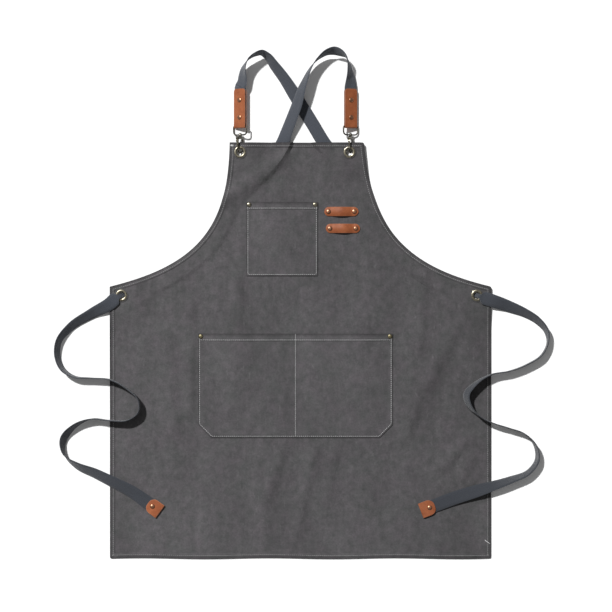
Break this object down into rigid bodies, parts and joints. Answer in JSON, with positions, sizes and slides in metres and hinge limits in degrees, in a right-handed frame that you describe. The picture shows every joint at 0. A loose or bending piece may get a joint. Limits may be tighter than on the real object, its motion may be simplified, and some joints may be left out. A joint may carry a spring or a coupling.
{
  "type": "bib apron",
  "caption": "Cross-back bib apron of waxed canvas with chest and waist pockets, leather pen loops, webbing straps on snap hooks and leather-tipped ties, lying flat.",
  "frame": {"origin": "middle of the waist line on the canvas's back face, where it rests", "axes": "+Y up the apron towards the bib, +X to the right as the front is seen, +Z out of the front"},
  "size_m": [0.8806, 0.9115, 0.0376],
  "materials": {
    "canvas": "waxed cotton canvas, matt",
    "webbing": "woven cotton webbing",
    "leather": "smooth tan, pale cut edges",
    "brass": "antique brass",
    "copper": "antique copper plate",
    "gunmetal": "dark bronze plate"
  },
  "bodies": {
    "apron": {"apron_panel": "canvas", "chest_pocket": "canvas", "lower_pocket": "canvas", "strap_from_left_hook": "webbing", "strap_from_right_hook": "webbing", "hook_tab_left": "leather", "hook_tab_right": "leather", "end_tab_left": "leather", "end_tab_right": "leather", "leather_loop_upper": "leather", "leather_loop_lower": "leather", "grommet_bib_left": "brass", "grommet_bib_right": "brass", "grommet_waist_left": "brass", "grommet_waist_right": "brass", "chest_pocket_rivet_left": "brass", "chest_pocket_rivet_right": "brass", "lower_pocket_rivet_left": "brass", "lower_pocket_rivet_right": "brass", "end_tab_left_rivet": "copper", "end_tab_right_rivet": "copper", "hook_tab_left_rivet_lower": "copper", "hook_tab_left_rivet_upper": "copper", "hook_tab_right_rivet_lower": "copper", "hook_tab_right_rivet_upper": "copper", "leather_loop_lower_rivet_left": "copper", "leather_loop_lower_rivet_right": "copper", "leather_loop_upper_rivet_left": "copper", "leather_loop_upper_rivet_right": "copper", "strap_eye_left": "gunmetal", "strap_eye_right": "gunmetal", "hook_body_left": "gunmetal", "hook_body_right": "gunmetal", "gate_pin_left": "gunmetal", "gate_pin_right": "gunmetal"},
    "gate_left": {"hook_gate_left": "brass"},
    "gate_right": {"hook_gate_right": "brass"}
  },
  "joints": [
    {"name": "gate_hinge_left", "type": "hinge", "parent": "apron", "child": "gate_left", "pos_m": [-0.11171, 0.2642, 0.01502], "axis": [0.788, 0, 0.6157], "range_deg": [0, 15], "stiffness_Nm_per_rad": 0.002, "springref_deg": -17.19},
    {"name": "gate_hinge_right", "type": "hinge", "parent": "apron", "child": "gate_right", "pos_m": [0.08681, 0.2642, 0.01608], "axis": [0.9397, 0, 0.342], "range_deg": [0, 15], "stiffness_Nm_per_rad": 0.002, "springref_deg": -17.19}
  ]
}
